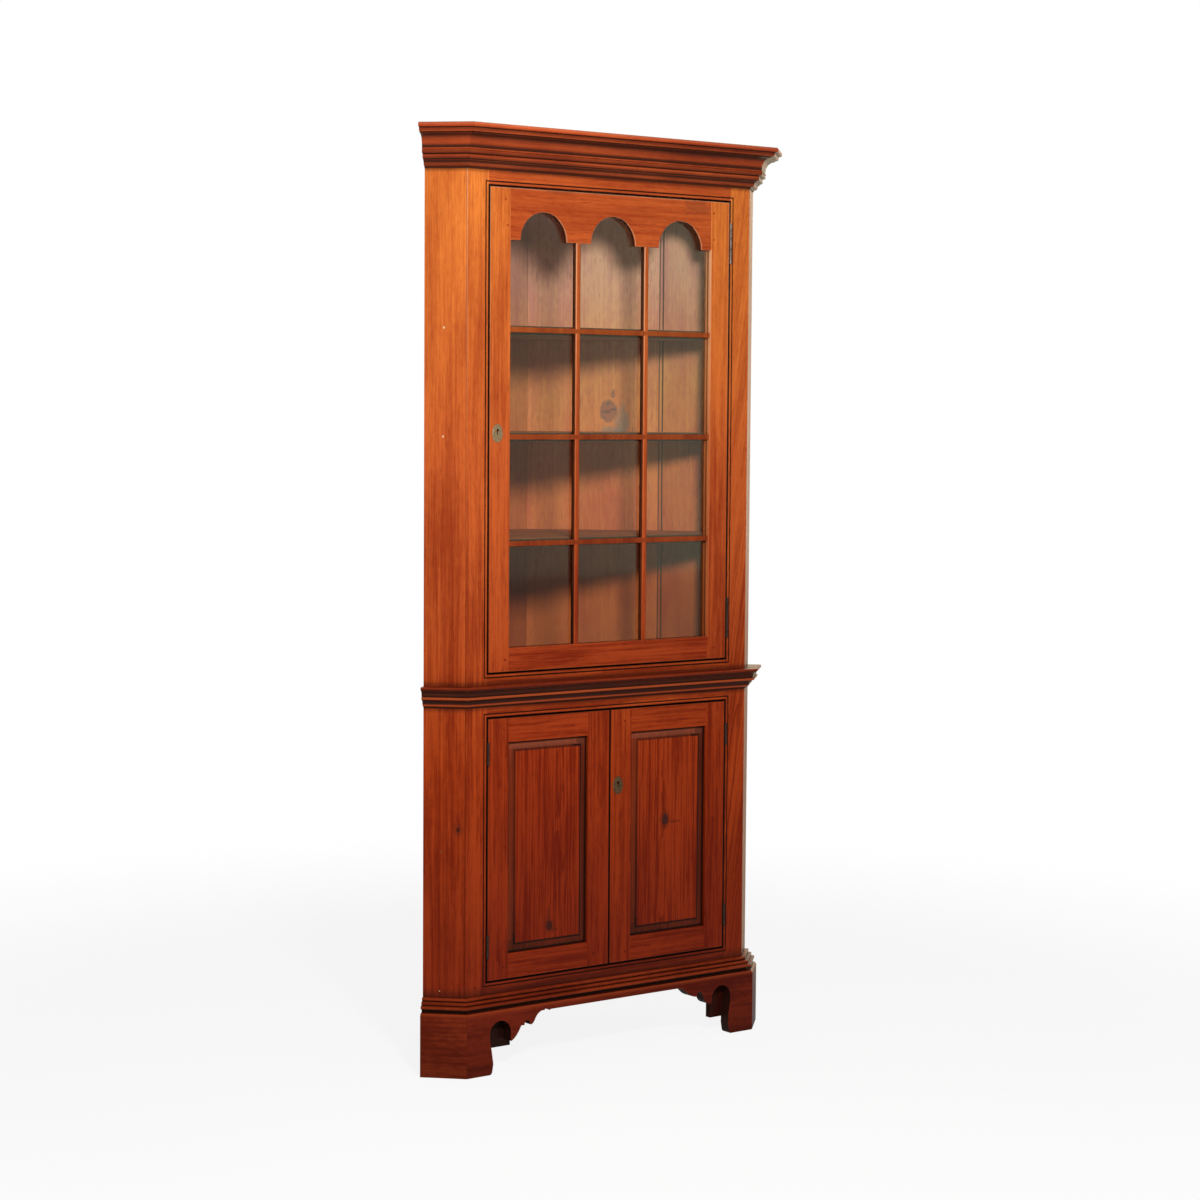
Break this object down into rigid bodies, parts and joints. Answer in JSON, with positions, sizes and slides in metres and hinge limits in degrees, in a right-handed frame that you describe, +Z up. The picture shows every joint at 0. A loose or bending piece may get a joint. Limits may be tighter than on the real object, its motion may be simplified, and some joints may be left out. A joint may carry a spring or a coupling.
{
  "type": "corner cupboard",
  "caption": "Tall pine corner cupboard: arched glazed door over two panelled doors, moulded cornice, waist and base, on bracket feet.",
  "frame": {"origin": "on the floor under the middle of the whole cupboard's box", "axes": "+Z up, the glazed face looks towards -Y, +X to the right of someone facing it"},
  "size_m": [1.0508, 0.5348, 2.134],
  "materials": {
    "frame_pine": "varnished orange-brown pine",
    "moulding_pine": "varnished red-brown pine",
    "panel_pine": "varnished dark red pine",
    "back_pine": "dull stained pine boards",
    "glass": "clear window glass",
    "brass": "aged brass",
    "hinge_steel": "worn pale steel",
    "hinge_iron": "dark iron"
  },
  "bodies": {
    "cabinet": {"left_frame_stile": "frame_pine", "right_frame_stile": "frame_pine", "bottom_frame_rail": "frame_pine", "waist_frame_rail": "frame_pine", "top_frame_rail": "frame_pine", "left_return_board": "frame_pine", "right_return_board": "frame_pine", "left_back_boards": "back_pine", "right_back_boards": "back_pine", "back_corner_board": "back_pine", "bottom_board": "back_pine", "waist_board": "back_pine", "upper_shelf_1": "back_pine", "upper_shelf_2": "back_pine", "upper_shelf_3": "back_pine", "top_board": "frame_pine", "cornice_front": "moulding_pine", "cornice_left_return": "moulding_pine", "cornice_right_return": "moulding_pine", "waist_moulding": "moulding_pine", "base_moulding": "moulding_pine", "front_apron": "moulding_pine", "left_foot_return": "moulding_pine", "right_foot_return": "moulding_pine", "left_foot_block": "moulding_pine", "right_foot_block": "moulding_pine", "upper_door_bottom_hinge_frame_leaf": "hinge_steel", "upper_door_top_hinge_frame_leaf": "hinge_steel", "left_door_bottom_hinge_frame_leaf": "hinge_iron", "left_door_top_hinge_frame_leaf": "hinge_iron", "right_door_bottom_hinge_frame_leaf": "hinge_iron", "right_door_top_hinge_frame_leaf": "hinge_iron"},
    "upper_door": {"upper_door_lock_stile": "frame_pine", "upper_door_hinge_stile": "frame_pine", "upper_door_arched_rail": "frame_pine", "upper_door_bottom_rail": "frame_pine", "upper_door_glazing_bars": "frame_pine", "upper_door_glass": "glass", "upper_door_lock_case": "hinge_iron", "upper_door_escutcheon": "brass", "upper_door_bottom_hinge_door_leaf": "hinge_steel", "upper_door_top_hinge_door_leaf": "hinge_steel"},
    "upper_door_bolt": {"upper_door_lock_bolt": "brass"},
    "left_door": {"left_door_hinge_stile": "frame_pine", "left_door_meeting_stile": "frame_pine", "left_door_bottom_rail": "frame_pine", "left_door_top_rail": "frame_pine", "left_door_panel": "panel_pine", "left_door_bottom_hinge_door_leaf": "hinge_iron", "left_door_top_hinge_door_leaf": "hinge_iron"},
    "right_door": {"right_door_hinge_stile": "frame_pine", "right_door_meeting_stile": "frame_pine", "right_door_bottom_rail": "frame_pine", "right_door_top_rail": "frame_pine", "right_door_panel": "panel_pine", "right_door_bottom_hinge_door_leaf": "hinge_iron", "right_door_top_hinge_door_leaf": "hinge_iron", "right_door_lock_case": "hinge_iron", "right_door_escutcheon": "brass"},
    "right_door_bolt": {"right_door_lock_bolt": "brass"}
  },
  "joints": [
    {"name": "upper_door_hinge", "type": "hinge", "parent": "cabinet", "child": "upper_door", "pos_m": [0.3478, -0.20078, 1.4585], "axis": [0, 0, 1], "range_deg": [0, 145]},
    {"name": "upper_door_bolt_slide", "type": "slide", "parent": "upper_door", "child": "upper_door_bolt", "axis": [-1, 0, 0], "range_m": [0, 0.009]},
    {"name": "left_door_hinge", "type": "hinge", "parent": "cabinet", "child": "left_door", "pos_m": [-0.3478, -0.20078, 0.509], "axis": [0, 0, -1], "range_deg": [0, 155]},
    {"name": "right_door_hinge", "type": "hinge", "parent": "cabinet", "child": "right_door", "pos_m": [0.3478, -0.20078, 0.509], "axis": [0, 0, 1], "range_deg": [0, 155]},
    {"name": "right_door_bolt_slide", "type": "slide", "parent": "right_door", "child": "right_door_bolt", "axis": [-1, 0, 0], "range_m": [0, 0.009]}
  ]
}
